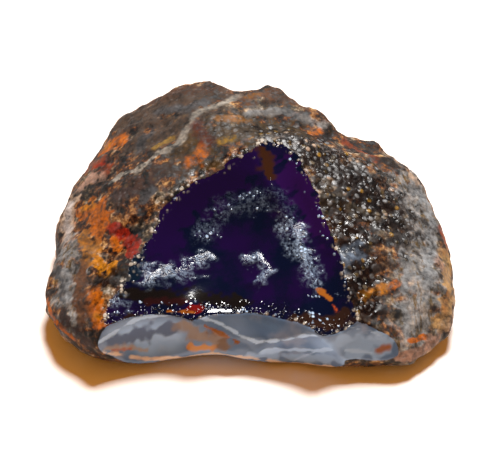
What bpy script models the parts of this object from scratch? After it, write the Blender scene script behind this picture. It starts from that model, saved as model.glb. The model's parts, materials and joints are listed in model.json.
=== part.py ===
# Rough black opal: one natural nodule lying on its worn, flat underside.
# Blender works in metres with +Z up. The stone's faces are drawn in millimetres,
# with the origin under its middle, and the finished shape is fitted to its three sizes.
# X runs along the length, and -Y is the side with the broken black face and the pale rim.
import bpy
import numpy as np

# Driving dimensions of the finished stone, in metres
LENGTH = 0.0260
DEPTH = 0.0199
HEIGHT = 0.0094

MM = 0.001

# Fineness: the ball is pushed out to the stone's surface, then thinned to this many triangles
BALL_SUBDIVISIONS = 7
TRIANGLES = 8400
BASE_SNAP = 0.004          # mm, points nearer than this to the underside are put on it
SHARP_ANGLE = 35           # degrees between two triangles from which their edge is shaded sharp
SEARCH_RADIUS = 20.0       # mm, further out than any point of the stone
SEARCH_STEPS = 34
HEART = (0.0, 0.6, 3.0)    # mm, a point inside, from which every part of the surface is seen

# Each face of the stone: name, a point on it, the way it faces, its bow and the width of
# the rounding where it meets the faces before it, all in millimetres.
# The bow is a radius: above zero the face bulges, below zero it is hollow, and 0 is flat.
SKIN = [
    ("top", (-0.6, 5.2, 9.3), (-0.05, 0.06, 1.0), 120, 0.6),
    ("back left slope", (-6.8, 6.4, 7.65), (-0.46, 0.14, 0.87), 90, 0.4),
    ("upper left slope", (-4.8, 2.2, 8.1), (-0.26, -0.25, 0.93), 120, 0.35),
    ("back right lobe", (2.4, 6.8, 8.72), (0.27, 0.12, 0.95), 90, 0.6),
    ("upper right slope", (6.3, 2.0, 7.5), (0.42, -0.16, 0.89), 90, 0.5),
    ("lower right slope", (7.4, -5.0, 4.7), (0.38, -0.38, 0.84), 90, 0.6),
    ("right shoulder", (11.3, -1.3, 4.15), (0.62, -0.14, 0.77), 90, 0.8),
    ("right side", (12.85, -2.8, 2.0), (0.98, 0.08, 0.14), 60, 1.0),
    ("right back side", (10.95, 4.7, 3.6), (0.70, 0.68, 0.20), 60, 1.0),
    ("back right side", (7.0, 8.0, 5.0), (0.42, 0.88, 0.20), 80, 0.8),
    ("back side", (2.2, 9.9, 5.4), (0.26, 0.95, 0.16), 60, 1.0),
    ("back lobe side", (-4.6, 11.0, 5.4), (-0.06, 0.98, 0.14), 60, 1.2),
    ("left back side", (-10.2, 9.0, 4.0), (-0.72, 0.68, 0.12), 60, 1.2),
    ("left rear side", (-11.5, 4.3, 3.4), (-0.90, 0.20, 0.36), 60, 0.6),
    ("left shoulder", (-10.2, -2.7, 4.6), (-0.58, -0.12, 0.80), 90, 0.8),
    ("left side", (-13.2, -3.0, 2.2), (-0.97, -0.05, 0.20), 60, 1.0),
    ("front left side", (-11.8, -6.9, 1.8), (-0.60, -0.80, 0.02), 60, 0.8),
    ("front side", (0.5, -9.2, 1.8), (0.03, -1.0, 0.02), 120, 0.6),
    ("front right side", (11.7, -7.7, 1.6), (0.56, -0.82, 0.10), 60, 1.2),
    ("front undercut", (2.0, -8.7, 0.75), (0.0, -0.60, -0.80), 200, 0.8),
    ("left undercut", (-12.2, -3.0, 1.1), (-0.60, -0.10, -0.79), 90, 1.2),
    ("right undercut", (12.6, -2.5, 0.9), (0.56, 0.0, -0.82), 90, 1.2),
    ("back undercut", (0.0, 10.6, 1.6), (0.0, 0.70, -0.71), 120, 1.6),
]

# Clefts in the weathered crust, with a sixth value: the way a trough runs
CLEFTS = [
    ("hollow of the front", (-2.2, -7.7, 1.5), (0.0, -1.0, 0.0), -17, 0.5, (0.0, 0.22, 1.0)),
    ("notch between the back lobes", (-0.6, 9.9, 6.5), (0.10, 0.92, 0.38), -1.8, 0.8, (0.05, -0.4, 0.9)),
    ("ledge before the right lobe", (2.0, 6.0, 8.5), (0.30, -0.25, 0.92), -2.0, 0.25, (0.93, 0.1, -0.33)),
    ("step below the back right lobe", (5.7, 7.2, 6.75), (0.50, 0.55, 0.66), -2.0, 0.5, (-0.6, 0.75, -0.2)),
    ("furrow on the back", (3.5, 9.4, 3.4), (0.2, 1.0, 0.0), -2.6, 0.7, (0.5, -0.1, 0.85)),
    ("furrow on the left", (-12.7, 0.4, 2.6), (-1.0, 0.1, 0.1), -2.4, 0.6, (0.1, 0.55, 0.83)),
]

# Fresh breaks, which stay smooth: the black glassy face and the pale rim under it
BREAKS = [
    ("black face", (-0.9, -3.4, 5.75), (-0.03, -0.48, 0.88), -50, 0.2),
    ("black bowl", (-1.4, -2.65, 5.3), (-0.02, -0.47, 0.88), -12, 0.3),
    ("black flute", (3.75, -2.3, 6.38), (-0.13, -0.51, 0.85), -2.4, 0.2, (0.30, -0.85, -0.44)),
    ("left rim scoop", (-5.5, -7.15, 2.4), (0.0, -0.96, 0.28), -6.2, 0.12),
    ("upper rim scoop", (0.5, -7.28, 2.95), (-0.17, -0.84, 0.50), -9, 0.12),
    ("lower rim scoop", (2.3, -7.85, 1.3), (-0.07, -1.0, -0.02), -10, 0.15),
    ("right rim scoop", (6.9, -8.05, 2.5), (0.10, -0.92, 0.38), -8, 0.12),
    ("foot of the rim", (-2.6, -7.6, 0.95), (0.0, -0.80, -0.60), -11, 0.3),
]

UNDERSIDE = ("underside", (0.0, 0.0, 0.0), (0.0, 0.0, -1.0), 0, 1.0)

# Relief of the crust and of the breaks: wavelength and height in mm, one row to each size of lump
CRUST_LUMPS = [(6.5, 0.10), (3.2, 0.06), (1.7, 0.035), (1.0, 0.015)]
BREAK_LUMPS = [(4.2, 0.03), (1.9, 0.012)]
WAVES = 9                  # crossing waves in each size of lump
WAVE_SPREAD = (0.75, 1.35)  # how far a wave's length may stray from its row's
CREST = 1.4                # a wave's own height, against what its row gives for all of them
CRUST_SEED = 11
BREAK_SEED = 23


def unit(vector):
    vector = np.array(vector, dtype=float)
    return vector / np.linalg.norm(vector)


def face_height(points, face):
    """Height of the points over one face, in mm, below zero inside the stone."""
    at, facing, bow = np.array(face[1]), unit(face[2]), face[3]
    if bow == 0:
        return (points - at) @ facing
    run = unit(face[5]) if len(face) > 5 else None
    if run is not None:
        facing = unit(facing - (facing @ run) * run)
    offsets = points - (at - facing * bow)
    if run is not None:
        offsets = offsets - (offsets @ run)[:, None] * run
    height = np.linalg.norm(offsets, axis=1) - abs(bow)
    return height if bow > 0 else -height


def smooth_max(a, b, width):
    """The larger of two heights, rounded off where they are closer than width."""
    near = np.maximum(width - np.abs(a - b), 0.0) / width
    return np.maximum(a, b) + near * near * width / 4


def join_faces(points, height, faces):
    for face in faces:
        face_h = face_height(points, face)
        height = face_h if height is None else smooth_max(height, face_h, face[4])
    return height


def lumps(points, sizes, seed):
    """Uneven relief: for each size, waves that cross at random directions."""
    random = np.random.default_rng(seed)
    relief = np.zeros(len(points))
    for wavelength, height in sizes:
        for _ in range(WAVES):
            direction = unit(random.normal(size=3)) * random.uniform(*WAVE_SPREAD)
            phase = random.uniform(0, 2 * np.pi)
            wave = np.sin(points @ direction * (2 * np.pi / wavelength) + phase)
            relief += wave * height * CREST / WAVES ** 0.5
    return relief


def stone_height(points):
    """Height of the points over the whole stone, in mm: zero on its surface."""
    height = join_faces(points, None, SKIN)
    height = join_faces(points, height, CLEFTS)
    height = height + lumps(points, CRUST_LUMPS, CRUST_SEED)
    glass = lumps(points, BREAK_LUMPS, BREAK_SEED)
    for face in BREAKS:
        height = smooth_max(height, face_height(points, face) + glass, face[4])
    return join_faces(points, height, [UNDERSIDE])


def push_to_surface(directions):
    """From the heart outwards along each direction, halving the interval down to the surface."""
    heart = np.array(HEART)
    inner = np.zeros(len(directions))
    outer = np.full(len(directions), SEARCH_RADIUS)
    for _ in range(SEARCH_STEPS):
        middle = (inner + outer) / 2
        outside = stone_height(heart + directions * middle[:, None]) > 0
        outer = np.where(outside, middle, outer)
        inner = np.where(outside, inner, middle)
    return heart + directions * inner[:, None]


def fit_to_size(points):
    """Centres the stone over the origin, stands it on z = 0 and gives it its exact sizes."""
    low, high = points.min(axis=0), points.max(axis=0)
    middle = np.array([(low[0] + high[0]) / 2, (low[1] + high[1]) / 2, low[2]])
    return (points - middle) * (np.array([LENGTH, DEPTH, HEIGHT]) / (high - low))


def opal_material():
    material = bpy.data.materials.new("black_opal")
    material.use_nodes = True
    shader = material.node_tree.nodes["Principled BSDF"]
    shader.inputs["Base Color"].default_value = (0.055, 0.035, 0.040, 1.0)
    shader.inputs["Roughness"].default_value = 0.28
    shader.inputs["Metallic"].default_value = 0.0
    return material


def coordinates(mesh):
    values = np.zeros(len(mesh.vertices) * 3)
    mesh.vertices.foreach_get("co", values)
    return values.reshape(-1, 3)


def flatten_base(points):
    """Points that are all but on the underside are put on it, so that it is one flat face."""
    points[points[:, 2] < BASE_SNAP * MM, 2] = 0.0
    return points


def build_stone(collection):
    bpy.ops.mesh.primitive_ico_sphere_add(subdivisions=BALL_SUBDIVISIONS, radius=1.0)
    ball = bpy.context.active_object
    directions = coordinates(ball.data)
    directions /= np.linalg.norm(directions, axis=1, keepdims=True)
    points = fit_to_size(push_to_surface(directions))
    ball.data.vertices.foreach_set("co", flatten_base(points).ravel())
    ball.data.update()

    # Thinning keeps the sharp breaks and spends few triangles on what is even
    thin = ball.modifiers.new("thin", "DECIMATE")
    thin.ratio = TRIANGLES / len(ball.data.polygons)
    thinned = bpy.data.meshes.new_from_object(ball.evaluated_get(bpy.context.evaluated_depsgraph_get()))
    bpy.data.objects.remove(ball, do_unlink=True)
    points = fit_to_size(flatten_base(coordinates(thinned)))
    thinned.vertices.foreach_set("co", points.ravel())
    thinned.name = "opal_nodule"
    thinned.materials.append(opal_material())
    thinned.shade_smooth()
    thinned.set_sharp_from_angle(angle=np.radians(SHARP_ANGLE))
    thinned.update()

    stone = bpy.data.objects.new("opal_nodule", thinned)
    collection.objects.link(stone)
    return stone


def main():
    for old in list(bpy.data.objects):
        bpy.data.objects.remove(old, do_unlink=True)
    collection = bpy.data.collections.new("black_opal")
    bpy.context.scene.collection.children.link(collection)
    build_stone(collection)


main()
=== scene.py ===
# Rough black opal on a pale sheet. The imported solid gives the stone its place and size,
# and this script grows the fine stone over it: granular crust, black glass and pale rim.
import json
import math
import bpy
import numpy as np
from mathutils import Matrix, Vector

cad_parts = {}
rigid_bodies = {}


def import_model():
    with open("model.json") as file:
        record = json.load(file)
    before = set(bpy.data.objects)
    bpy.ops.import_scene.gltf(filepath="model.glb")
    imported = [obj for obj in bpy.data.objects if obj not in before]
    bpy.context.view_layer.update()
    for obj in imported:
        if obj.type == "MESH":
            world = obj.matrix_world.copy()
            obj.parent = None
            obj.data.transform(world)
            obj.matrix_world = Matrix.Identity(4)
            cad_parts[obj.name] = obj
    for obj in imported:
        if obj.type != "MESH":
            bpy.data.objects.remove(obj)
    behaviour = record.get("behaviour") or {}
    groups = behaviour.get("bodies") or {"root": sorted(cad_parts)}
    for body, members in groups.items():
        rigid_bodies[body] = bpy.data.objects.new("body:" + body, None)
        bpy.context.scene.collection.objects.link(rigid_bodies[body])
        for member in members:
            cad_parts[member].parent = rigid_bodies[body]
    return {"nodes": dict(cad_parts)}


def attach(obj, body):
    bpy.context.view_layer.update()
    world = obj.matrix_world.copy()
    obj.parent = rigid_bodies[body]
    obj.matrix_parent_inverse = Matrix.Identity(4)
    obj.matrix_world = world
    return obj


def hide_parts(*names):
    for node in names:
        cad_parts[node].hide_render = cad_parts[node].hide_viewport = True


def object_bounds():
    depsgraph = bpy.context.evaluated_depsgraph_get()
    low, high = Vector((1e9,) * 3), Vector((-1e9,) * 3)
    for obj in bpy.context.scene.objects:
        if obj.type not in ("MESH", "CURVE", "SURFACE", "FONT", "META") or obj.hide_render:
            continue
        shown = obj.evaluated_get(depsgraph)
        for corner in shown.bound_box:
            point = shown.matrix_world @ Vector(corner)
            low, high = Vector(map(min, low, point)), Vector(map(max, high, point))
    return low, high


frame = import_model()
cadLow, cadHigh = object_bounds()
mm = 0.001
tiny = 1e-9  # keeps a division from one by zero
print("frame loaded:", sorted(frame["nodes"]))


def removeOldThings():
    for old in list(bpy.data.objects):
        if old.type in ("CAMERA", "LIGHT") or old.name == "Cube":
            bpy.data.objects.remove(old, do_unlink=True)


# Camera: the photograph's viewing angle, straight at the broken black face
photoShot = {
    "pictureWidth": 500,  # pixels, the frame that every spot below is given in
    "pictureHeight": 456,
    "elevation": 42.0,  # degrees above the table
    "distance": 161.5,  # mm
    "lookAt": (-0.03, -1.25, 4.745),  # mm
    "lens": 182.6,  # mm, as is the sensor's width
    "sensor": 36.0,
    "clip": (0.001, 10.0),  # m
}


def cameraAxes():
    lift = math.radians(photoShot["elevation"])
    back = np.array([0.0, -math.cos(lift), math.sin(lift)])
    right = np.array([1.0, 0.0, 0.0])
    eye = np.array(photoShot["lookAt"]) + back * photoShot["distance"]
    return eye, right, np.cross(back, right), back


def makeCamera():
    eye, _, _, back = cameraAxes()
    camera = bpy.data.objects.new("studioCamera", bpy.data.cameras.new("studioCamera"))
    bpy.context.scene.collection.objects.link(camera)
    camera.location = Vector(eye * mm)
    camera.rotation_euler = Vector(back).to_track_quat("Z", "Y").to_euler()
    camera.data.sensor_width = photoShot["sensor"]
    camera.data.lens = photoShot["lens"]
    camera.data.clip_start, camera.data.clip_end = photoShot["clip"]
    bpy.context.scene.camera = camera


def rayThrough(spot):
    eye, right, up, back = cameraAxes()
    halfWide = photoShot["pictureWidth"] / 2
    reach = photoShot["sensor"] / 2 / photoShot["lens"] / halfWide
    across = (spot[0] - halfWide) * reach
    above = (photoShot["pictureHeight"] / 2 - spot[1]) * reach
    aim = right * across + up * above - back
    return Vector(eye * mm), Vector(aim).normalized()


def addNode(tree, kind, settings=None, feeds=None):
    # feeds go to inputs by name or number: a socket is linked, anything else is set
    node = tree.nodes.new(kind)
    for name, value in (settings or {}).items():
        setattr(node, name, value)
    for name, value in (feeds or {}).items():
        if isinstance(value, bpy.types.NodeSocket):
            tree.links.new(value, node.inputs[name])
        else:
            node.inputs[name].default_value = value
    return node


def outputOf(tree, kind, settings=None, feeds=None):
    return addNode(tree, kind, settings, feeds).outputs[0]


# Studio: a white sheet, one soft lamp overhead and a little behind, and warm light from the room
studio = {
    "sheetSize": 1.2,  # m
    "sheetColour": (0.93, 0.94, 0.95),
    "sheetRoughness": 0.9,
    "sheetShine": 0.1,
    "lampTowards": (0.12, 0.48, 1.0),  # where the lamp stands, as seen from the stone
    "lampDistance": 0.50,  # m
    "lampSize": 0.15,  # m
    "lampPower": 4.6,  # watts on the sheet, per square metre
    "lampColour": (1.0, 0.98, 0.96),
    "roomColour": (1.0, 0.38, 0.06),
    "roomStrength": 0.54,
    "mirroredColour": (0.62, 0.70, 0.85),
    "mirroredStrength": 0.12,
    "seenColour": (0.93, 0.94, 0.95),
    "seenStrength": 1.2,
}


def makeSheet():
    half = studio["sheetSize"] / 2
    corners = [(-half, -half, 0), (half, -half, 0), (half, half, 0), (-half, half, 0)]
    mesh = bpy.data.meshes.new("paleSheet")
    mesh.from_pydata(corners, [], [(0, 1, 2, 3)])
    sheet = bpy.data.objects.new("paleSheet", mesh)
    bpy.context.scene.collection.objects.link(sheet)
    finish = bpy.data.materials.new("paleSheet")
    finish.use_nodes = True
    shader = finish.node_tree.nodes["Principled BSDF"]
    shader.inputs["Base Color"].default_value = (*studio["sheetColour"], 1)
    shader.inputs["Roughness"].default_value = studio["sheetRoughness"]
    shader.inputs["Specular IOR Level"].default_value = studio["sheetShine"]
    mesh.materials.append(finish)


def makeLamp():
    # a small lamp lights a sheet that faces it with power / (pi * distance^2)
    way = Vector(studio["lampTowards"]).normalized()
    distance = studio["lampDistance"]
    lamp = bpy.data.objects.new("overheadLamp", bpy.data.lights.new("overheadLamp", "AREA"))
    bpy.context.scene.collection.objects.link(lamp)
    lamp.location = way * distance
    lamp.rotation_euler = way.to_track_quat("Z", "Y").to_euler()
    lamp.data.shape = "DISK"
    lamp.data.size = studio["lampSize"]
    lamp.data.energy = studio["lampPower"] * math.pi * distance ** 2 / way.z
    lamp.data.color = studio["lampColour"]


def makeRoomLight():
    # warm where it lights surfaces, cool in their mirrors and pale where it is seen itself
    world = bpy.data.worlds.new("room")
    bpy.context.scene.world = world
    world.use_nodes = True
    tree = world.node_tree
    tree.nodes.clear()

    def glow(part):
        feeds = {"Color": (*studio[part + "Colour"], 1), "Strength": studio[part + "Strength"]}
        return outputOf(tree, "ShaderNodeBackground", None, feeds)

    rays = addNode(tree, "ShaderNodeLightPath").outputs
    light = glow("room")
    for ray, part in (("Is Glossy Ray", "mirrored"), ("Is Camera Ray", "seen")):
        feeds = {0: rays[ray], 1: light, 2: glow(part)}
        light = outputOf(tree, "ShaderNodeMixShader", None, feeds)
    addNode(tree, "ShaderNodeOutputWorld", None, {0: light})


removeOldThings()
makeCamera()
makeSheet()
makeLamp()
makeRoomLight()
bpy.context.scene.view_settings.view_transform = "Standard"
print("camera, sheet and lamp are in place")


# Shape of the stone, drawn in mm. A face is: name, a point on it, the way it faces, its bow
# (a radius: above zero it bulges, below zero it is hollow), the width of the rounding where
# it meets the faces before it and, for a trough, the way it runs.
stoneShape = {
    "heart": (0.0, 0.6, 3.0),  # a point inside that sees all of the surface
    "ballCuts": 7,
    "spacing": 0.126,  # of the finished stone's points
    "halvings": 13,
    "settlings": 3,
    "probe": 0.01,
    "searchRadius": 20.0,
    "skin": [
        ("top", (-0.6, 5.2, 9.3), (-0.05, 0.06, 1.0), 120, 0.6),
        ("back left slope", (-6.8, 6.4, 7.65), (-0.46, 0.14, 0.87), 90, 0.4),
        ("upper left slope", (-4.8, 2.2, 8.1), (-0.26, -0.25, 0.93), 120, 0.35),
        ("back right lobe", (2.4, 6.8, 8.72), (0.27, 0.12, 0.95), 90, 0.6),
        ("upper right slope", (6.3, 2.0, 7.5), (0.42, -0.16, 0.89), 90, 0.5),
        ("lower right slope", (7.4, -5.0, 4.7), (0.38, -0.38, 0.84), 90, 0.6),
        ("right shoulder", (11.3, -1.3, 4.15), (0.62, -0.14, 0.77), 90, 0.8),
        ("right side", (12.85, -2.8, 2.0), (0.98, 0.08, 0.14), 60, 1.0),
        ("right back side", (10.95, 4.7, 3.6), (0.70, 0.68, 0.20), 60, 1.0),
        ("back right side", (7.0, 8.0, 5.0), (0.42, 0.88, 0.20), 80, 0.8),
        ("back side", (2.2, 9.9, 5.4), (0.26, 0.95, 0.16), 60, 1.0),
        ("back lobe side", (-4.6, 11.0, 5.4), (-0.06, 0.98, 0.14), 60, 1.2),
        ("left back side", (-10.2, 9.0, 4.0), (-0.72, 0.68, 0.12), 60, 1.2),
        ("left rear side", (-11.5, 4.3, 3.4), (-0.90, 0.20, 0.36), 60, 0.6),
        ("left shoulder", (-10.2, -2.7, 4.6), (-0.58, -0.12, 0.80), 90, 0.8),
        ("left side", (-13.2, -3.0, 2.2), (-0.97, -0.05, 0.20), 60, 1.0),
        ("front left side", (-11.8, -6.9, 1.8), (-0.60, -0.80, 0.02), 60, 0.8),
        ("front side", (0.5, -9.2, 1.8), (0.03, -1.0, 0.02), 120, 0.6),
        ("front right side", (11.7, -7.7, 1.6), (0.56, -0.82, 0.10), 60, 1.2),
        ("front undercut", (2.0, -8.7, 0.75), (0.0, -0.60, -0.80), 200, 0.8),
        ("left undercut", (-12.2, -3.0, 1.1), (-0.60, -0.10, -0.79), 90, 1.2),
        ("right undercut", (12.6, -2.5, 0.9), (0.56, 0.0, -0.82), 90, 1.2),
        ("back undercut", (0.0, 10.6, 1.6), (0.0, 0.70, -0.71), 120, 1.6),
        ("hollow of the front", (-2.2, -7.7, 1.5), (0.0, -1.0, 0.0), -17, 0.5, (0.0, 0.22, 1.0)),
        ("notch between the back lobes", (-0.6, 9.9, 6.5), (0.10, 0.92, 0.38), -1.8, 0.8, (0.05, -0.4, 0.9)),
        ("ledge before the right lobe", (2.0, 6.0, 8.5), (0.30, -0.25, 0.92), -2.0, 0.25,
         (0.93, 0.1, -0.33)),
        ("step below the back right lobe", (5.7, 7.2, 6.75), (0.50, 0.55, 0.66), -2.0, 0.5,
         (-0.6, 0.75, -0.2)),
        ("furrow on the back", (3.5, 9.4, 3.4), (0.2, 1.0, 0.0), -2.6, 0.7, (0.5, -0.1, 0.85)),
        ("furrow on the left", (-12.7, 0.4, 2.6), (-1.0, 0.1, 0.1), -2.4, 0.6, (0.1, 0.55, 0.83)),
    ],
    "blackBreak": [
        ("black face", (-0.9, -3.4, 5.75), (-0.03, -0.48, 0.88), -50, 0.2),
        ("black bowl", (-1.4, -2.65, 5.3), (-0.02, -0.47, 0.88), -12, 0.3),
        ("black flute", (3.75, -2.3, 6.38), (-0.13, -0.51, 0.85), -2.4, 0.2, (0.30, -0.85, -0.44)),
    ],
    "rimBreak": [
        ("left rim scoop", (-5.5, -7.15, 2.4), (0.0, -0.96, 0.28), -6.2, 0.12),
        ("upper rim scoop", (0.5, -7.28, 2.95), (-0.17, -0.84, 0.50), -9, 0.12),
        ("lower rim scoop", (2.3, -7.85, 1.3), (-0.07, -1.0, -0.02), -10, 0.15),
        ("right rim scoop", (6.9, -8.05, 2.5), (0.10, -0.92, 0.38), -8, 0.12),
        ("foot of the rim", (-2.6, -7.6, 0.95), (0.0, -0.80, -0.60), -11, 0.3),
    ],
    "underside": ("underside", (0.0, 0.0, 0.0), (0.0, 0.0, -1.0), 0, 1.0),
    "crustLumps": [(6.5, 0.10), (3.2, 0.06), (1.7, 0.035), (1.0, 0.015)],  # length and height of each size
    "breakLumps": [(4.2, 0.03), (1.9, 0.012)],
    "waves": 9,
    "waveSpread": (0.75, 1.35),
    "crest": 1.4,
    "crustSeed": 11,
    "breakSeed": 23,
    "lipWidth": 2.3,  # the glass rolls over along the rim, within this of it
    "lipDrop": 0.31,
    "lipRightEnd": (1.5, 5.0),  # it fades out between these, along x
}


def unit(vector):
    vector = np.array(vector, dtype=float)
    return vector / np.linalg.norm(vector)


def faceHeight(points, face):
    # height over one face in mm, below zero inside the stone
    at, facing, bow = np.array(face[1]), unit(face[2]), face[3]
    if bow == 0:
        return (points - at) @ facing
    run = unit(face[5]) if len(face) > 5 else None
    if run is not None:
        facing = unit(facing - (facing @ run) * run)
    offsets = points - (at - facing * bow)
    if run is not None:
        offsets = offsets - (offsets @ run)[:, None] * run
    height = np.linalg.norm(offsets, axis=1) - abs(bow)
    return height if bow > 0 else -height


def smoothMax(a, b, width):
    near = np.maximum(width - np.abs(a - b), 0.0) / width
    return np.maximum(a, b) + near * near * width / 4


def smoothStep(low, high, value):
    share = np.clip((value - low) / (high - low), 0, 1)
    return share * share * (3 - 2 * share)


def lumps(points, sizes, seed):
    # uneven relief: for each size, waves that cross at random directions
    random = np.random.default_rng(seed)
    total = np.zeros(len(points))
    for wavelength, height in sizes:
        for _ in range(stoneShape["waves"]):
            direction = unit(random.normal(size=3)) * random.uniform(*stoneShape["waveSpread"])
            phase = random.uniform(0, 2 * np.pi)
            wave = np.sin(points @ direction * (2 * np.pi / wavelength) + phase)
            total += wave * height * stoneShape["crest"] / stoneShape["waves"] ** 0.5
    return total


def stoneHeights(points):
    # height over the whole stone, and over its crust, black break, pale rim and underside
    whole = None
    for face in stoneShape["skin"]:
        height = faceHeight(points, face)
        whole = height if whole is None else smoothMax(whole, height, face[4])
    whole = whole + lumps(points, stoneShape["crustLumps"], stoneShape["crustSeed"])
    glassLumps = lumps(points, stoneShape["breakLumps"], stoneShape["breakSeed"])
    heights = {"crust": whole}
    for zone, faces in (("glass", stoneShape["blackBreak"]), ("rim", stoneShape["rimBreak"])):
        heights[zone] = np.full(len(points), -stoneShape["searchRadius"])
        for face in faces:
            height = faceHeight(points, face) + glassLumps
            heights[zone] = np.maximum(heights[zone], height)
            whole = smoothMax(whole, height, face[4])
        if zone == "glass":
            rim = np.max([faceHeight(points, face) for face in stoneShape["rimBreak"]], axis=0)
            near = np.clip(1 - (heights["glass"] - rim) / stoneShape["lipWidth"], 0, 1)
            near = near * (1 - smoothStep(*stoneShape["lipRightEnd"], points[:, 0]))
            heights["glass"] = heights["glass"] + stoneShape["lipDrop"] * near * near
            whole = smoothMax(whole, heights["glass"], stoneShape["blackBreak"][0][4])
    heights["base"] = faceHeight(points, stoneShape["underside"])
    heights["whole"] = smoothMax(whole, heights["base"], stoneShape["underside"][4])
    return heights


def pushToSurface(directions):
    # from the heart outwards, halving the interval down to the surface
    heart = np.array(stoneShape["heart"])
    inner = np.zeros(len(directions))
    outer = np.full(len(directions), stoneShape["searchRadius"])
    for _ in range(stoneShape["halvings"]):
        middle = (inner + outer) / 2
        outside = stoneHeights(heart + directions * middle[:, None])["whole"] > 0
        outer = np.where(outside, middle, outer)
        inner = np.where(outside, inner, middle)
    return heart + directions * inner[:, None]


def settle(points):
    # straight down or up to the surface, by the slope of the height
    probe = stoneShape["probe"]
    for _ in range(stoneShape["settlings"]):
        height = stoneHeights(points)["whole"]
        steps = [stoneHeights(points + step)["whole"] - height for step in np.eye(3) * probe]
        slope = np.column_stack(steps) / probe
        points = points - slope * (height / (slope ** 2).sum(axis=1))[:, None]
    return points


def meshPoints(mesh):
    values = np.zeros(len(mesh.vertices) * 3)
    mesh.vertices.foreach_get("co", values)
    return values.reshape(-1, 3)


def makeStoneMesh():
    # a ball pushed out to the stone, cut anew into even faces and settled on the surface
    bpy.ops.mesh.primitive_ico_sphere_add(subdivisions=stoneShape["ballCuts"], radius=1)
    ball = bpy.context.active_object
    directions = meshPoints(ball.data)
    directions /= np.linalg.norm(directions, axis=1, keepdims=True)
    ball.data.vertices.foreach_set("co", (pushToSurface(directions) * mm).ravel())
    even = ball.modifiers.new("even", "REMESH")
    even.mode = "VOXEL"
    even.voxel_size = stoneShape["spacing"] * mm
    mesh = bpy.data.meshes.new_from_object(ball.evaluated_get(bpy.context.evaluated_depsgraph_get()))
    bpy.data.objects.remove(ball, do_unlink=True)
    return mesh, settle(meshPoints(mesh) / mm)


mesh, drawn = makeStoneMesh()
print("stone drawn:", len(drawn), "points, size", np.ptp(drawn, axis=0).round(3))


def fitToCad(points):
    low, high = points.min(axis=0), points.max(axis=0)
    cadSize = np.array(cadHigh - cadLow) / mm
    return (points - low) / (high - low) * cadSize + np.array(cadLow) / mm


placed = fitToCad(drawn)
heights = stoneHeights(drawn)
mesh.vertices.foreach_set("co", (placed * mm).ravel())
mesh.update()
roughStone = bpy.data.objects.new("roughStone", mesh)
bpy.context.scene.collection.objects.link(roughStone)
bpy.context.view_layer.update()


# Where the photograph shows each stain, painted highlight and finish, as spots in its frame that are carried
# onto the stone. A stain or painted highlight is: colour, spots along its middle, half width in mm,
# strength.
# Colours are red, green and blue from 0 to 255, as a screen shows them.
palette = {
    "soot": (34, 20, 12), "coal": (32, 28, 26), "darkBrown": (42, 26, 18), "blackBrown": (34, 20, 18),
    "umber": (66, 48, 36), "lobeBrown": (98, 80, 66), "brownPurple": (74, 54, 52), "brown": (120, 82, 56),
    "chestnut": (98, 54, 26), "taupe": (96, 86, 70), "tan": (158, 104, 52), "sand": (214, 176, 116),
    "ash": (142, 134, 114), "pearl": (198, 200, 192), "olive": (122, 104, 58), "darkOlive": (90, 66, 20),
    "yellow": (188, 150, 52), "ochre": (196, 134, 50), "burntOchre": (150, 92, 30), "resin": (50, 27, 9),
    "amber": (248, 164, 20), "orange": (238, 132, 10), "rust": (168, 74, 32), "red": (190, 42, 12),
    "darkRed": (104, 14, 10), "cream": (226, 206, 184), "pinkCream": (212, 178, 160),
    "greyCream": (170, 156, 136), "paleBlue": (176, 190, 200), "slate": (96, 106, 116),
    # the pale blue next to white is used for thin cracks and for painted highlights, sheen and glints
    "white": (238, 240, 244), "highlightAndCrackBlue": (176, 214, 255), "lavender": (146, 184, 228),
    "rimBlue": (102, 140, 184), "rimDark": (50, 64, 94), "rimGrey": (66, 90, 130),
    "rimBrown": (136, 114, 88), "deepPurple": (22, 3, 54), "fluteViolet": (34, 5, 64), "navy": (3, 8, 36),
    "teal": (7, 24, 42), "bottle": (18, 13, 9), "maroon": (48, 12, 14),
}

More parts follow.
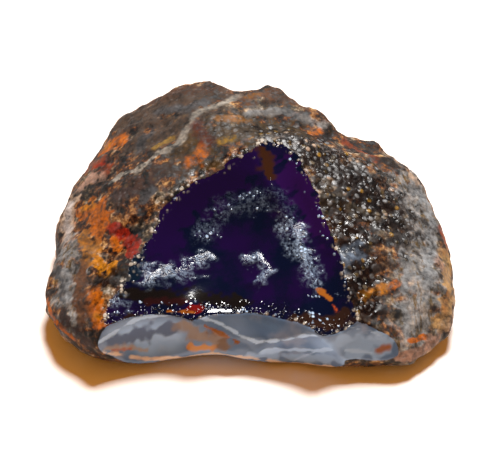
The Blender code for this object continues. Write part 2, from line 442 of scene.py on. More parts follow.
crustStainsAndHighlights = {
    "lobe skin": ("lobeBrown", [(130, 122), (165, 108), (205, 94), (185, 122), (150, 142)], 1.7, 0.8),
    "right lobe skin": ("lobeBrown", [(250, 96), (285, 98)], 0.6, 0.6),
    "upper skin": ("chestnut", [(140, 100), (175, 92), (215, 88)], 0.5, 0.55),
    "middle skin": ("darkOlive", [(190, 155), (225, 128), (255, 128), (285, 132)], 1.6, 0.85),
    "shadowed skin": ("brownPurple", [(118, 196), (150, 180), (182, 165)], 0.8, 0.6),
    "lobe slate": ("slate", [(160, 112), (186, 108), (204, 104)], 0.4, 0.7),
    "lobe slate below": ("slate", [(138, 150), (150, 132)], 0.35, 0.6),
    "lobe orange": ("orange", [(99, 154), (108, 145), (121, 141)], 0.5, 0.95),
    "lobe amber": ("amber", [(104, 148), (110, 143)], 0.22, 0.9),
    "lobe rust": ("rust", [(86, 170), (100, 162), (108, 168)], 0.5, 0.85),
    "lobe red": ("red", [(98, 166), (104, 163)], 0.16, 0.8),
    "pink edge": ("pinkCream", [(81, 188), (90, 180), (98, 178)], 0.4, 0.85),
    "worn crease": ("pearl", [(240, 96), (222, 103), (200, 110), (190, 125), (178, 143), (165, 150),
                              (140, 168), (120, 175), (108, 185)], 0.24, 0.75),
    "olive patch": ("yellow", [(157, 146), (171, 139)], 0.28, 0.7),
    "orange blotch": ("orange", [(192, 161), (203, 153)], 0.42, 0.9),
    "dark bowl of crust": ("darkRed", [(196, 124), (204, 136), (212, 143)], 0.4, 0.6),
    "yellow fleck": ("yellow", [(221, 142), (231, 137)], 0.3, 0.75),
    "ochre fleck": ("ochre", [(218, 118), (238, 120)], 0.26, 0.75),
    "slate by the face": ("slate", [(152, 190), (142, 202)], 0.3, 0.6),
    "left orange": ("orange", [(80, 214), (92, 208), (102, 218), (96, 232)], 0.62, 0.95),
    "left amber": ("amber", [(84, 208), (94, 204)], 0.3, 0.9),
    "left cream": ("cream", [(73, 203), (67, 222), (64, 242)], 0.6, 0.95),
    "left cream core": ("white", [(70, 205), (66, 224), (66, 240)], 0.32, 0.9),
    "left ochre": ("ochre", [(84, 236), (92, 250), (88, 262)], 0.5, 0.8),
    "red cluster": ("red", [(113, 230), (124, 236), (135, 244), (130, 258)], 0.40, 0.9),
    "red core": ("orange", [(112, 238), (120, 250)], 0.22, 0.8),
    "yellow band": ("amber", [(94, 258), (104, 268), (113, 264), (108, 276)], 0.42, 0.95),
    "resin pocket": ("resin", [(96, 284), (112, 278), (124, 276), (130, 290)], 0.62, 0.95),
    "lower orange": ("orange", [(92, 296), (96, 310), (103, 322)], 0.55, 0.9),
    "lower amber": ("amber", [(96, 316), (106, 320)], 0.22, 0.8),
    "blue streaks": ("slate", [(57, 252), (61, 274), (66, 296)], 0.45, 0.75),
    "pale streaks": ("paleBlue", [(62, 246), (66, 276), (68, 300)], 0.28, 0.85),
    "brown flank": ("brown", [(82, 268), (79, 290), (84, 318)], 0.5, 0.8),
    "orange lip": ("orange", [(47, 302), (52, 315), (60, 327), (73, 338)], 0.2, 0.9),
    "purple flank": ("brownPurple", [(62, 316), (74, 330), (88, 341)], 0.4, 0.8),
    "right lobe top": ("brown", [(246, 98), (272, 95), (302, 104)], 0.55, 0.7),
    "right lobe ochre": ("ochre", [(248, 97), (256, 95)], 0.22, 0.7),
    "right lobe pale band": ("paleBlue", [(250, 113), (275, 110), (300, 116), (322, 125)], 0.36, 0.45),
    "ochre under the band": ("ochre", [(236, 118), (250, 122)], 0.26, 0.7),
    "orange on the rise": ("orange", [(311, 134), (320, 131)], 0.22, 0.8),
    "dark on the rise": ("darkBrown", [(322, 140), (330, 137)], 0.3, 0.8),
    "right crest rust": ("rust", [(345, 141), (366, 153), (375, 160)], 0.3, 0.6),
    "right crest dark": ("darkBrown", [(384, 160), (402, 170)], 0.35, 0.7),
    "pale tip": ("cream", [(412, 176), (418, 183)], 0.24, 0.9),
    "shoulder pale": ("paleBlue", [(418, 190), (428, 208), (434, 228), (430, 256), (426, 282)],
                      0.5, 0.8),
    "ridge pale": ("paleBlue", [(400, 236), (406, 276), (402, 306), (408, 334)], 0.26, 0.65),
    "right orange": ("rust", [(441, 231), (447, 246)], 0.42, 0.95),
    "right orange core": ("orange", [(444, 236), (447, 242)], 0.2, 0.8),
    "right pink": ("pinkCream", [(440, 262), (446, 276)], 0.4, 0.6),
    "right streak": ("orange", [(447, 294), (444, 309)], 0.24, 0.85),
    "right cream": ("cream", [(456, 284), (455, 306), (447, 326)], 0.32, 0.85),
    "right sand": ("sand", [(446, 256), (450, 280), (446, 304), (438, 326)], 0.6, 0.7),
    "corner cream": ("pinkCream", [(438, 338), (422, 350), (404, 357)], 0.4, 0.85),
    "corner orange": ("orange", [(412, 341), (423, 337)], 0.2, 0.8),
    "granular skin": ("darkBrown", [(292, 148), (325, 165), (362, 190), (385, 215)], 1.5, 0.62),
    "olive skin": ("olive", [(330, 198), (350, 206), (374, 216)], 0.5, 0.6),
    "glossy skin": ("darkBrown", [(340, 212), (356, 250), (364, 285), (356, 314)], 1.7, 0.60),
    # painted highlight: a pale blue patch where the glossy grains catch the lamp
    "painted blue highlight": ("highlightAndCrackBlue", [(343, 264), (350, 256), (358, 252)], 0.5, 0.9),
    "ochre bead": ("amber", [(363, 297), (373, 292), (384, 287)], 0.3, 0.95),
    "orange bead": ("orange", [(391, 287), (397, 283)], 0.22, 0.95),
}

glassStains = {
    "upper wall": ("deepPurple", [(246, 160), (216, 180), (182, 208), (160, 236)], 1.3, 0.9),
    "flute": ("fluteViolet", [(292, 174), (310, 204), (320, 228)], 0.9, 0.85),
    "teal edge": ("teal", [(140, 234), (133, 254), (134, 274)], 0.45, 0.8),
    "bottle edge": ("bottle", [(126, 292), (160, 298), (200, 297), (242, 303)], 0.45, 0.75),
    "maroon edge": ("maroon", [(148, 302), (188, 300)], 0.22, 0.45),
    "left black corner": ("blackBrown", [(104, 338), (120, 330), (136, 321)], 0.45, 0.95),
    "right black corner": ("darkBrown", [(296, 320), (328, 326), (345, 316)], 0.5, 0.8),
    "amber drip": ("resin", [(263, 150), (265, 160), (269, 174)], 0.38, 0.95),
    "ochre bits": ("burntOchre", [(317, 289), (322, 292)], 0.16, 0.9),
    "ochre bits below": ("burntOchre", [(328, 296), (331, 299)], 0.12, 0.8),
    "rust bits": ("rust", [(333, 305), (337, 310)], 0.13, 0.7),
    "dark red bit": ("darkRed", [(190, 305), (196, 308)], 0.26, 0.95),
    "ochre under it": ("burntOchre", [(168, 311), (194, 312)], 0.06, 0.8),
}

rimStainsAndHighlights = {
    "bottom glow": ("lavender", [(250, 356), (300, 358), (350, 356), (385, 350)], 0.35, 0.8),
    "left lens deep": ("rimGrey", [(112, 343), (140, 334), (170, 328)], 0.50, 0.85),
    "right lens": ("lavender", [(338, 341), (362, 343), (385, 341)], 0.55, 0.8),
    "rim cream zone": ("rimBrown", [(184, 324), (198, 336), (222, 344)], 0.55, 0.7),
    "rim ochre": ("ochre", [(192, 347), (212, 347)], 0.24, 0.9),
    "rim ochre line": ("burntOchre", [(205, 326), (222, 334), (238, 342)], 0.11, 0.8),
    # painted highlight along the crest of the rim
    "rim crest highlight": ("highlightAndCrackBlue", [(162, 313), (186, 315), (208, 319), (227, 327), (241, 336), (256, 342),
                           (285, 340), (314, 335), (334, 329)], 0.13, 0.95),
    "rim smear": ("greyCream", [(106, 349), (128, 347), (146, 351)], 0.2, 0.6),
    "rim smear core": ("rust", [(112, 350), (130, 349)], 0.1, 0.5),
    "rim amber": ("burntOchre", [(378, 350), (388, 347)], 0.22, 0.9),
    "rim orange": ("burntOchre", [(400, 343), (413, 341)], 0.18, 0.8),
    # painted highlight along the upper edge of the left lens
    "left lens edge highlight": ("highlightAndCrackBlue", [(95, 344), (116, 331), (140, 318), (163, 314)], 0.13, 0.9),
    "rim foot": ("cream", [(104, 353), (150, 359), (186, 357), (220, 354), (250, 358), (290, 363),
                           (330, 367), (372, 364)], 0.14, 0.85),
    "crack": ("highlightAndCrackBlue", [(350, 327), (376, 333), (405, 342)], 0.06, 0.5),
    "second crack": ("highlightAndCrackBlue", [(366, 325), (392, 333), (410, 338)], 0.05, 0.35),
    # painted sheen and a painted highlight line on the lower rim
    "low sheen": ("highlightAndCrackBlue", [(262, 352), (296, 350), (332, 350)], 0.17, 0.75),
    "right crest": ("highlightAndCrackBlue", [(295, 360), (324, 348), (372, 353)], 0.09, 0.7),
}

stainsAndHighlights = {"crust": crustStainsAndHighlights, "glass": glassStains, "rim": rimStainsAndHighlights}

# finish zones, among them frosty glass that carries a painted sheen and sparkle zones where glints are
# painted: spots along the middle, half width in mm, strength
finishesAndHighlights = {
    "grain": [
        ([(290, 140), (330, 160), (375, 195), (395, 220)], 2.3, 1.0),
        ([(330, 200), (350, 230), (360, 270), (360, 300)], 1.6, 0.8),
        ([(215, 120), (250, 130), (285, 135)], 1.2, 0.35)],
    "fibre": [
        ([(408, 186), (418, 225), (420, 265), (418, 310), (415, 335)], 1.7, 1.0),
        ([(66, 250), (68, 280), (74, 315)], 1.2, 0.9)],
    "glaze": [
        ([(345, 225), (362, 262), (360, 290), (352, 315)], 1.9, 1.0),
        ([(300, 150), (322, 190), (332, 230)], 0.9, 0.8),
        ([(128, 232), (108, 262), (104, 300), (112, 325)], 1.0, 0.9),
        ([(240, 152), (200, 172), (160, 204), (140, 226)], 0.5, 0.8)],
    # frosty glass: rougher and bumpier, with a painted pale sheen laid on it
    "frostSheen": [
        ([(146, 277), (172, 273), (200, 262)], 0.65, 0.9),
        ([(290, 228), (300, 250), (312, 280)], 0.7, 1.0),
        ([(246, 261), (258, 260), (266, 270), (262, 282)], 0.4, 1.0),
        ([(108, 301), (127, 304)], 0.5, 1.0),
        ([(203, 234), (222, 212), (245, 203), (270, 196), (290, 218)], 0.7, 0.30)],
    # glints are painted here as pale dots over small domes
    "sparkle": [
        ([(199, 226), (215, 213), (234, 203), (262, 190), (271, 182)], 0.42, 0.6),
        ([(255, 208), (272, 211), (291, 219)], 0.5, 0.8),
        ([(198, 236), (218, 234)], 0.45, 0.7),
        ([(288, 222), (303, 255), (314, 286)], 0.7, 0.8),
        ([(150, 276), (178, 270), (200, 262)], 0.4, 0.5),
        ([(248, 262), (264, 268), (262, 282)], 0.45, 0.9),
        ([(108, 302), (128, 306)], 0.5, 1.0),
        ([(140, 306), (165, 308), (200, 304), (236, 313), (270, 322)], 0.40, 1.0),
        ([(275, 320), (300, 318), (326, 330)], 0.8, 0.9),
        ([(240, 150), (215, 163), (192, 178), (176, 192), (152, 214), (136, 228)], 0.28, 0.9),
        ([(292, 158), (306, 174), (318, 198), (326, 232), (336, 262)], 0.4, 0.75),
        ([(345, 240), (355, 262), (362, 290)], 1.4, 0.5),
        ([(108, 262), (122, 240)], 0.5, 0.45)],
}

# smooth pale stone between the rim's scoops
rimPatch = {
    "spots": [(190, 334), (214, 336), (236, 342), (256, 341), (282, 343), (268, 352), (240, 350),
              (198, 349)],
    "width": 0.64,  # mm
    "slope": 0.5,
}

# ripples that the break left on the glass: spots along the crest, half width and height in mm
ridges = {
    "sheen ridge": ([(142, 286), (168, 276), (205, 262)], 0.55, 0.10),
    "upper ripple": ([(196, 238), (212, 215), (240, 203), (268, 196)], 0.40, 0.05),
    "hook": ([(246, 262), (258, 258), (268, 268), (262, 282), (250, 284)], 0.28, 0.10),
    "flute ridge": ([(274, 190), (290, 222), (303, 255), (314, 286)], 0.45, 0.10),
    "left ripple": ([(176, 200), (158, 226), (150, 250)], 0.45, 0.05),
    "right ripple": ([(300, 180), (318, 214), (328, 250)], 0.40, 0.07),
}


def linear(colour):
    # from a screen's values to a shader's
    share = np.array(colour) / 255
    return np.where(share <= 0.04045, share / 12.92, ((share + 0.055) / 1.055) ** 2.4)


def onStone(spot):
    # the point of the stone that the photograph shows at this spot, or the nearest one to its ray
    origin, aim = rayThrough(spot)
    hit, place, _, _ = roughStone.ray_cast(origin, aim)
    if hit:
        return np.array(place) / mm
    offsets = placed - np.array(origin) / mm
    offsets -= np.outer(offsets @ np.array(aim), np.array(aim))
    return placed[np.argmin((offsets ** 2).sum(axis=1))]


def distanceTo(spots):
    # distance of every point to the line through the spots, in mm
    line = [onStone(spot) for spot in spots]
    nearest = np.linalg.norm(placed - line[0], axis=1)
    for start, end in zip(line, line[1:]):
        along = end - start
        share = np.clip((placed - start) @ along / max(along @ along, tiny), 0, 1)
        nearest = np.minimum(nearest, np.linalg.norm(placed - start - np.outer(share, along), axis=1))
    return nearest


# how edges of stains, painted highlights and finish zones are frayed and softened, in shares of the half
# width
markEdges = {
    "lumps": [(1.1, 0.30), (0.5, 0.16)],  # length in mm and height of each size of lump
    "markSeed": 5,
    "finishAndHighlightSeed": 6,
    "markEnds": (0.45, 1.55),
    "finishAndHighlightEnds": (0.4, 1.3),
}


def paintStainsAndHighlights(zone):
    fray = lumps(placed, markEdges["lumps"], markEdges["markSeed"])
    colours = np.zeros((len(placed), 3))
    cover = np.zeros(len(placed))
    for colour, spots, width, strength in stainsAndHighlights[zone].values():
        reach = distanceTo(spots) / width + fray
        share = strength * (1 - smoothStep(*markEdges["markEnds"], reach))
        total = share + cover * (1 - share)
        keep = np.where(total > 0, share / np.maximum(total, tiny), 0)
        colours = colours * (1 - keep)[:, None] + linear(palette[colour]) * keep[:, None]
        cover = total
    return np.column_stack([colours, cover])


def finishAndHighlightZone(name):
    value = np.zeros(len(placed))
    fray = lumps(placed, markEdges["lumps"], markEdges["finishAndHighlightSeed"])
    for spots, width, strength in finishesAndHighlights[name]:
        reach = distanceTo(spots) / width + fray
        value = np.maximum(value, strength * (1 - smoothStep(*markEdges["finishAndHighlightEnds"], reach)))
    return value


def ridgeHeights():
    total = np.zeros(len(placed))
    for spots, width, height in ridges.values():
        total += height * np.exp(-(distanceTo(spots) / width) ** 2)
    return total


def give(name, values, kind="FLOAT", field="value"):
    layer = mesh.attributes.new(name, kind, "POINT")
    layer.data.foreach_set(field, values.astype(np.float32).ravel())


rimOver = heights["rim"] - np.maximum(heights["crust"], heights["glass"])
rimOver = np.maximum(rimOver, (rimPatch["width"] - distanceTo(rimPatch["spots"])) * rimPatch["slope"])
give("glassOver", heights["glass"] - np.maximum(heights["crust"], heights["rim"]))
give("rimOver", rimOver)
give("lift", placed[:, 2])
give("ridge", ridgeHeights())
for zone in stainsAndHighlights:
    give(zone + "Marks", paintStainsAndHighlights(zone), "FLOAT_COLOR", "color")
for zone in finishesAndHighlights:
    give(zone, finishAndHighlightZone(zone))
print("stains carried onto the stone:", sum(len(marks) for marks in stainsAndHighlights.values()))


# Fine relief of the crust, grown by Geometry Nodes over the pushed-out stone, in mm
crustRelief = {
    "Grain size": 0.34,
    "Grain height": 0.10,
    "Knob size": 0.85,
    "Knob height": 0.24,
    "Pit size": 0.55,
    "Pit depth": 0.10,
    "Fibre spacing": 0.42,
    "Fibre height": 0.07,
    "Ripple size": 1.1,
    "Ripple height": 0.018,
}

relief = {
    "breakEdge": (-0.15, 0.02),  # mm, the relief dies away as a break comes near
    "baseEdge": (0.05, 0.6),  # mm over the table
    "grainRounding": 0.35,
    "grainBulge": 0.45,  # cells, from a grain's middle to its foot
    "plainGrain": 0.4,  # how much of it there is outside the granular zone
    "pitLevel": 0.58,
    "pitSteepness": 5.0,
    "fibreSqueeze": (1.0, 0.22, 0.22),
    "details": {"Knob size": 3.0, "Pit size": 2.0, "Fibre spacing": 3.0, "Ripple size": 2.0},
}


def calc(tree, operation, a, b=0.0):
    return outputOf(tree, "ShaderNodeMath", {"operation": operation}, {0: a, 1: b})


def times(tree, product, *others):
    for value in others:
        product = calc(tree, "MULTIPLY", product, value)
    return product


def plus(tree, total, *others):
    for value in others:
        total = calc(tree, "ADD", total, value)
    return total


def minus(tree, a, b):
    return calc(tree, "SUBTRACT", a, b)


def weighted(tree, parts):
    # sum of values, each with its factor
    return plus(tree, *[times(tree, value, factor) for value, factor in parts])


def vectorCalc(tree, operation, feeds):
    return addNode(tree, "ShaderNodeVectorMath", {"operation": operation}, feeds).outputs


def scaled(tree, vector, factor):
    return vectorCalc(tree, "SCALE", {0: vector, "Scale": factor})[0]


def noiseAt(tree, place, scale, detail=4.0, roughness=0.6):
    feeds = {"Vector": place, "Scale": scale, "Detail": detail, "Roughness": roughness}
    return outputOf(tree, "ShaderNodeTexNoise", None, feeds)


def buildReliefTree():
    tree = bpy.data.node_groups.new("crustRelief", "GeometryNodeTree")
    face = tree.interface
    face.new_socket("Geometry", in_out="INPUT", socket_type="NodeSocketGeometry")
    for name in crustRelief:
        face.new_socket(name, in_out="INPUT", socket_type="NodeSocketFloat")
    face.new_socket("Finish", in_out="INPUT", socket_type="NodeSocketMaterial")
    face.new_socket("Geometry", in_out="OUTPUT", socket_type="NodeSocketGeometry")
    given = tree.nodes.new("NodeGroupInput").outputs
    result = tree.nodes.new("NodeGroupOutput")
    place = scaled(tree, outputOf(tree, "GeometryNodeInputPosition"), 1 / mm)
    evenly = (1, 1, 1)

    def named(name):
        settings = {"data_type": "FLOAT"}
        return outputOf(tree, "GeometryNodeInputNamedAttribute", settings, {"Name": name})

    def across(name, edge, start=0.0, end=1.0):
        feeds = {0: named(name), 1: edge[0], 2: edge[1], 3: start, 4: end}
        return outputOf(tree, "ShaderNodeMapRange", None, feeds)

    def sized(size, along):
        squeezed = vectorCalc(tree, "MULTIPLY", {0: place, 1: along})[0]
        return scaled(tree, squeezed, calc(tree, "DIVIDE", 1.0, given[size]))

    def noise(size, along):
        return noiseAt(tree, sized(size, along), 1.0, relief["details"][size])

    def uneven(size, height, along=evenly):
        return times(tree, minus(tree, noise(size, along), 0.5), given[height])

    # crust is 1 on the weathered skin and 0 on the breaks and the underside
    offGlass = across("glassOver", relief["breakEdge"], 1.0, 0.0)
    offRim = across("rimOver", relief["breakEdge"], 1.0, 0.0)
    offBase = across("lift", relief["baseEdge"])
    crust = times(tree, offGlass, offRim, offBase)

    feeds = {"Vector": sized("Grain size", evenly), "Scale": 1.0, "Smoothness": relief["grainRounding"]}
    cells = addNode(tree, "ShaderNodeTexVoronoi", {"feature": "SMOOTH_F1"}, feeds).outputs["Distance"]
    bulge = minus(tree, relief["grainBulge"], cells)
    grain = times(tree, bulge, given["Grain height"], plus(tree, named("grain"), relief["plainGrain"]))
    knobs = uneven("Knob size", "Knob height")
    pitted = minus(tree, noise("Pit size", evenly), relief["pitLevel"])
    pitted = calc(tree, "MAXIMUM", pitted, 0.0)
    pits = times(tree, pitted, times(tree, given["Pit depth"], -relief["pitSteepness"]))
    fibres = uneven("Fibre spacing", "Fibre height", relief["fibreSqueeze"])
    fibres = times(tree, fibres, named("fibre"))
    ripples = times(tree, uneven("Ripple size", "Ripple height"), offBase)

    rough = times(tree, plus(tree, grain, knobs, pits, fibres), crust)
    total = times(tree, plus(tree, rough, plus(tree, ripples, named("ridge"))), mm)
    normal = outputOf(tree, "GeometryNodeInputNormal")
    settings = {"data_type": "FLOAT_VECTOR", "domain": "POINT"}
    feeds = {"Geometry": given["Geometry"], "Name": "place", "Value": place}
    kept = outputOf(tree, "GeometryNodeStoreNamedAttribute", settings, feeds)
    feeds = {"Geometry": kept, "Offset": scaled(tree, normal, total)}
    moved = outputOf(tree, "GeometryNodeSetPosition", None, feeds)
    whole = outputOf(tree, "GeometryNodeRealizeInstances", None, {"Geometry": moved})
    feeds = {"Geometry": whole, "Material": given["Finish"]}
    dressed = outputOf(tree, "GeometryNodeSetMaterial", None, feeds)
    tree.links.new(dressed, result.inputs[0])
    return tree


def growRelief(material):
    grow = roughStone.modifiers.new("crustRelief", "NODES")
    grow.node_group = buildReliefTree()
    for socket in grow.node_group.interface.items_tree:
        if socket.item_type == "SOCKET" and socket.in_out == "INPUT":
            if socket.name in crustRelief:
                grow[socket.identifier] = crustRelief[socket.name]
            elif socket.name == "Finish":
                grow[socket.identifier] = material
    bpy.context.view_layer.update()
    grown = bpy.data.meshes.new_from_object(roughStone.evaluated_get(bpy.context.evaluated_depsgraph_get()))
    roughStone.modifiers.remove(grow)
    roughStone.data = grown
    grown.vertices.foreach_set("co", np.clip(meshPoints(grown), cadLow, cadHigh).ravel())
    grown.shade_smooth()
    grown.update()


# How the stone's skin is coloured and how finely it is grained. Scales are per mm, heights in mm.
skin = {
    "crustScales": [(0.32, 0.30), (1.1, 0.50), (3.4, 0.40)],  # scale and weight of each size of mottling
    "crustContrast": 3.9,
    "crustTone": 0.45,
    "crustShade": (0.42, 2.6),
    "darkestShade": 0.10,
    "warmColours": [(0.15, "soot"), (0.42, "chestnut"), (0.62, "tan"), (0.90, "sand")],
    "coolColours": [(0.15, "coal"), (0.42, "taupe"), (0.64, "ash"), (0.92, "pearl")],
    "warmShift": (17.0, 5.0, 9.0),
    "grainScale": 2.2,
    "grainColours": [(0.0, "soot"), (0.24, "umber"), (0.36, "olive"), (0.50, "yellow"),
                     (0.58, "ash"), (0.70, "paleBlue"), (0.93, "cream")],
    "plainGrain": 0.12,  # share of grains and of salt outside the granular zone
    "plainSalt": 0.06,
    "saltScale": 3.1,
    "saltCover": 0.30,
    "markDepth": 0.85,
    "crustFray": (0.8, 0.5),  # how far coarse and fine mottling break up a stain
    "rimFray": (0.20, 0.12),
    "crumbScale": 3.9,
    "beadSize": 1.2,
    "lipScale": 4.2,
    "lipCover": 0.7,
    "fibreAcross": 2.7,
    "fibreAlong": 0.42,
    "fibreRun": (0.0, -0.64, -0.77),
    "fibreColours": [(0.22, "coal"), (0.34, "olive"), (0.41, "ash"), (0.49, "paleBlue"), (0.70, "pearl")],
    "dotScale": 4.4,
    "ragged": 0.30,  # mm, how far mottling wears at the edge of a break
    "rimRagged": 0.4,  # share of that along the rim
    "crustRoughness": (0.60, 0.92),
    "glazeRoughness": 0.22,
    "grainGloss": 0.75,
    "glassRoughness": 0.07,
    "frostRoughness": 0.20,
    "rimRoughness": 0.12,
    "refraction": 1.46,
}

bumps = {  # mm
    "crust": 0.035,
    "grain": 0.05,
    "salt": 0.05,
    "fibre": 0.03,
    "crumb": 0.06,
    "lip": 0.11,
    "frostSheen": 0.055,
    "dot": 0.045,
    "glassRipple": 0.006,
    "rimRipple": 0.03,
}

# noises: scale per mm, detail and, where it isn't the usual one, roughness
noises = {
    "warmth": (0.75, 3.0),
    "crumbPatch": (0.9, 2.0),
    "violet": (0.35, 4.0),
    "frostSheenPatch": (1.3, 3.0),
    "frostSheen": (4.5, 5.0, 0.7),
    "glintDotPatch": (1.3, 2.0),
    "glassRipple": (1.6, 2.0),
    "rimRipple": (1.6, 3.0),
    "rimCloud": (0.3, 1.0),
    "rimVeil": (0.6, 2.5),
}

# fades: the value at which a share is 0 and the one at which it is 1
fades = {
    "warmth": (0.34, 0.56),
    "crustMarks": (0.80, 1.40),
    "markFoot": (0.0, 0.3),
    "grain": (0.48, 0.22),  # cells from the middle
    "salt": (0.42, 0.16),
    "crumb": (0.28, 0.70),
    "crumbReach": (0.29, 0.02),  # mm from the edge of the glass
    "crumbPatch": (0.42, 0.58),
    "violet": (0.44, 0.66),
    "glassMarks": (0.1, 0.75),
    "frostSheenPatch": (0.28, 0.56),
    "frostSheen": (0.40, 0.72),
    "dot": (0.55, 0.85),
    "glintDotPatch": (0.42, 0.55),
    "glintDotZone": (0.15, 0.7),
    "lip": (-0.75, -0.25),  # mm under the rim
    "lipDimple": (0.65, 0.0),
    "rimDeep": (0.9, 0.05),  # mm into the rim
    "rimCloud": (0.35, 0.65),
    "rimVeil": (0.50, 0.80),
    "rimMarks": (0.24, 1.04),
    "glassEdge": (-0.03, 0.03),
    "rimEdge": (-0.02, 0.03),
    "base": (0.35, 0.12),  # mm over the table
    "roughness": (0.35, 0.65),
}

# how strongly each colour covers the one under it
covers = {
    "fibre": 0.9,
    "gap": 0.85,
    "grain": 0.85,
    "salt": 0.8,
    "crumb": 0.8,
    "frostSheen": 0.62,
    "dot": 0.9,
    "rimDeep": 0.55,
    "rimVeil": 0.14,
    "worn": 0.7,
}


def paint(name):
    return (*linear(palette[name]), 1.0)


def mixColour(tree, share, a, b):
    return addNode(tree, "ShaderNodeMix", {"data_type": "RGBA"}, {0: share, 6: a, 7: b}).outputs[2]


def mixValue(tree, share, a, b):
    return outputOf(tree, "ShaderNodeMix", {"data_type": "FLOAT"}, {0: share, 2: a, 3: b})


def laidOver(tree, colour, name, share, top):
    # the colour under a top one, which lies where the share is
    return mixColour(tree, times(tree, share, covers[name]), colour, top)


def fade(tree, value, name):
    feeds = {0: value, 1: fades[name][0], 2: fades[name][1]}
    return outputOf(tree, "ShaderNodeMapRange", {"interpolation_type": "SMOOTHSTEP"}, feeds)


def patches(tree, place, name):
    return fade(tree, noiseAt(tree, place, *noises[name]), name)


def ramp(tree, value, stops, between="LINEAR"):
    node = addNode(tree, "ShaderNodeValToRGB", None, {0: value})
    node.color_ramp.interpolation = between
    marks = node.color_ramp.elements
    for position, _ in stops[2:]:
        marks.new(position)
    for mark, (position, name) in zip(marks, stops):
        mark.position = position
        mark.color = paint(name)
    return node.outputs[0]


def cellsAt(tree, place, scale):
    # round cells: distance to a cell's middle, in cells, and the cell's own random number
    cell = addNode(tree, "ShaderNodeTexVoronoi", None, {"Vector": place, "Scale": scale})
    split = addNode(tree, "ShaderNodeSeparateColor", None, {0: cell.outputs["Color"]})
    return cell.outputs["Distance"], split.outputs[0]


def beadsAt(tree, place, name):
    middle, pick = cellsAt(tree, place, skin[name + "Scale"])
    return fade(tree, minus(tree, times(tree, pick, skin["beadSize"]), middle), name)


def stretchAlong(tree, place, run, across, along):
    # the place scaled by one number across the run and by another along it
    far = vectorCalc(tree, "DOT_PRODUCT", {0: place, 1: run})["Value"]
    back = scaled(tree, run, times(tree, far, along - across))
    return vectorCalc(tree, "ADD", {0: scaled(tree, place, across), 1: back})[0]


def attribute(tree, name):
    return addNode(tree, "ShaderNodeAttribute", {"attribute_name": name}).outputs


def readValue(tree, name):
    return attribute(tree, name)["Fac"]


def readMarks(tree, zone):
    markColour = attribute(tree, zone + "Marks")
    return markColour["Alpha"], markColour["Color"]


def frayed(tree, cover, sizes, zone):
    coarse, fine = skin[zone + "Fray"]
    reach = weighted(tree, [(cover, 1.0), (sizes[1], coarse), (sizes[2], fine)])
    return fade(tree, reach, zone + "Marks")


def crustLook(tree, place):
    # weathered crust: mottling, fibres, stains with one painted highlight, round grains and salt; gives
    # colour, height, mottling
    sizes = [noiseAt(tree, place, scale) for scale, _ in skin["crustScales"]]
    weights = [weight for _, weight in skin["crustScales"]]
    tone = minus(tree, weighted(tree, zip(sizes, weights)), sum(weights) / 2)
    tone = plus(tree, times(tree, tone, skin["crustContrast"]), skin["crustTone"])
    elsewhere = vectorCalc(tree, "ADD", {0: place, 1: skin["warmShift"]})[0]
    cool = ramp(tree, tone, skin["coolColours"])
    warm = ramp(tree, tone, skin["warmColours"])
    colour = mixColour(tree, patches(tree, elsewhere, "warmth"), cool, warm)

    run = stretchAlong(tree, place, skin["fibreRun"], skin["fibreAcross"], skin["fibreAlong"])
    fibre = noiseAt(tree, run, 1.0)
    onFibre = readValue(tree, "fibre")
    colour = laidOver(tree, colour, "fibre", onFibre, ramp(tree, fibre, skin["fibreColours"]))

    cover, markColour = readMarks(tree, "crust")
    marked = times(tree, frayed(tree, cover, sizes, "crust"), fade(tree, cover, "markFoot"))
    colour = mixColour(tree, marked, colour, scaled(tree, markColour, skin["markDepth"]))

    grainMiddle, grainPick = cellsAt(tree, place, skin["grainScale"])
    granular = calc(tree, "MAXIMUM", readValue(tree, "grain"), skin["plainGrain"])
    onGrain = times(tree, fade(tree, grainMiddle, "grain"), granular)
    grains = ramp(tree, grainPick, skin["grainColours"], "CONSTANT")
    colour = laidOver(tree, colour, "gap", granular, paint("soot"))
    colour = laidOver(tree, colour, "grain", onGrain, grains)

    saltMiddle, saltPick = cellsAt(tree, place, skin["saltScale"])
    chosen = calc(tree, "LESS_THAN", saltPick, skin["saltCover"])
    salted = calc(tree, "MINIMUM", plus(tree, granular, skin["plainSalt"]), 1.0)
    salt = times(tree, fade(tree, saltMiddle, "salt"), chosen, salted)
    colour = laidOver(tree, colour, "salt", salt, paint("paleBlue"))

    middle, swing = skin["crustShade"]
    shade = weighted(tree, [(sizes[1], swing / 2), (sizes[2], swing / 2)])
    shade = calc(tree, "MAXIMUM", plus(tree, shade, middle - swing / 2), skin["darkestShade"])
    height = weighted(tree, [(sizes[2], bumps["crust"]), (onGrain, bumps["grain"]), (salt, bumps["salt"]),
                             (times(tree, fibre, onFibre), bumps["fibre"])])
    return scaled(tree, colour, shade), height, sizes


def crumbsAt(tree, place):
    # glassy crumbs where the break meets the crust
    away = calc(tree, "ABSOLUTE", readValue(tree, "glassOver"))
    near = times(tree, fade(tree, away, "crumbReach"), patches(tree, place, "crumbPatch"))
    return times(tree, beadsAt(tree, place, "crumb"), near)


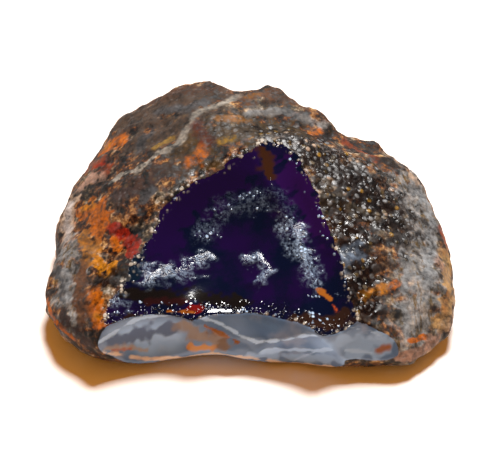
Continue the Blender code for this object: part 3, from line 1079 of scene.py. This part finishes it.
def breakLook(tree, place):
    # black glass: violet and navy, with frosty ripples under a painted pale sheen, small glints painted as
    # pale dots over small domes, and dimples along its lip
    cover, markColour = readMarks(tree, "glass")
    colour = mixColour(tree, patches(tree, place, "violet"), paint("navy"), paint("deepPurple"))
    colour = mixColour(tree, fade(tree, cover, "glassMarks"), colour, markColour)
    frostSheenZone = times(tree, readValue(tree, "frostSheen"), patches(tree, place, "frostSheenPatch"))
    frostSheen = noiseAt(tree, place, *noises["frostSheen"])
    # painted sheen: pale blue laid over the frosty zones
    colour = laidOver(tree, colour, "frostSheen", times(tree, frostSheenZone, fade(tree, frostSheen, "frostSheen")), paint("highlightAndCrackBlue"))
    # painted glints: pale dots over small domes in the sparkle zones
    glintDots = times(tree, beadsAt(tree, place, "dot"), patches(tree, place, "glintDotPatch"),
                 fade(tree, readValue(tree, "sparkle"), "glintDotZone"))
    colour = laidOver(tree, colour, "dot", glintDots, paint("highlightAndCrackBlue"))
    lipMiddle, lipPick = cellsAt(tree, place, skin["lipScale"])
    onLip = times(tree, fade(tree, readValue(tree, "rimOver"), "lip"),
                  calc(tree, "LESS_THAN", lipPick, skin["lipCover"]))
    lip = times(tree, fade(tree, lipMiddle, "lipDimple"), onLip)
    ripple = noiseAt(tree, place, *noises["glassRipple"])
    height = weighted(tree, [(ripple, bumps["glassRipple"]), (times(tree, frostSheen, frostSheenZone), bumps["frostSheen"]),
                             (lip, bumps["lip"]), (glintDots, bumps["dot"])])
    roughness = mixValue(tree, frostSheenZone, skin["glassRoughness"], skin["frostRoughness"])
    return colour, height, roughness


def rimLook(tree, place, sizes):
    # pale rim: cloudy lavender grey, whiter veils, stains and painted highlight lines along its crests
    cover, markColour = readMarks(tree, "rim")
    colour = mixColour(tree, patches(tree, place, "rimCloud"), paint("lavender"), paint("rimBlue"))
    deep = fade(tree, readValue(tree, "rimOver"), "rimDeep")
    colour = laidOver(tree, colour, "rimDeep", deep, paint("rimDark"))
    colour = laidOver(tree, colour, "rimVeil", patches(tree, place, "rimVeil"), paint("white"))
    markColour = scaled(tree, markColour, skin["markDepth"])
    colour = mixColour(tree, frayed(tree, cover, sizes, "rim"), colour, markColour)
    return colour, times(tree, noiseAt(tree, place, *noises["rimRipple"]), bumps["rimRipple"])


def makeSkin():
    material = bpy.data.materials.new("opalSkin")
    material.use_nodes = True
    tree = material.node_tree
    shader = tree.nodes["Principled BSDF"]
    shader.inputs["IOR"].default_value = skin["refraction"]
    place = attribute(tree, "place")["Vector"]
    crust, crustHeight, sizes = crustLook(tree, place)
    glass, glassHeight, glassRoughness = breakLook(tree, place)
    rim, rimHeight = rimLook(tree, place, sizes)

    # where each zone lies, with worn edges
    ragged = weighted(tree, [(sizes[1], skin["ragged"]), (sizes[2], skin["ragged"])])
    ragged = minus(tree, ragged, skin["ragged"])
    onGlass = fade(tree, plus(tree, readValue(tree, "glassOver"), ragged), "glassEdge")
    rimEdge = plus(tree, readValue(tree, "rimOver"), times(tree, ragged, skin["rimRagged"]))
    onRim = fade(tree, rimEdge, "rimEdge")
    onBase = fade(tree, plus(tree, readValue(tree, "lift"), ragged), "base")
    crumbs = crumbsAt(tree, place)

    colour = mixColour(tree, onGlass, crust, glass)
    colour = laidOver(tree, colour, "crumb", crumbs, paint("pearl"))
    colour = mixColour(tree, onRim, colour, rim)
    worn = mixColour(tree, sizes[1], paint("pinkCream"), paint("brown"))
    colour = laidOver(tree, colour, "worn", onBase, worn)

    height = mixValue(tree, onGlass, crustHeight, glassHeight)
    height = weighted(tree, [(height, 1.0), (crumbs, bumps["crumb"])])
    height = mixValue(tree, onRim, height, rimHeight)
    bump = addNode(tree, "ShaderNodeBump", None, {"Height": height, "Strength": 1.0, "Distance": mm})

    rough = mixValue(tree, fade(tree, sizes[2], "roughness"), *skin["crustRoughness"])
    gloss = times(tree, readValue(tree, "grain"), skin["grainGloss"])
    gloss = calc(tree, "MAXIMUM", readValue(tree, "glaze"), gloss)
    rough = mixValue(tree, gloss, rough, skin["glazeRoughness"])
    rough = mixValue(tree, onGlass, rough, glassRoughness)
    rough = mixValue(tree, onRim, rough, skin["rimRoughness"])
    tree.links.new(colour, shader.inputs["Base Color"])
    tree.links.new(rough, shader.inputs["Roughness"])
    tree.links.new(bump.outputs[0], shader.inputs["Normal"])
    return material


growRelief(makeSkin())
print("crust relief grown:", len(roughStone.data.polygons), "faces")

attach(roughStone, "root")
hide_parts("opal_nodule")
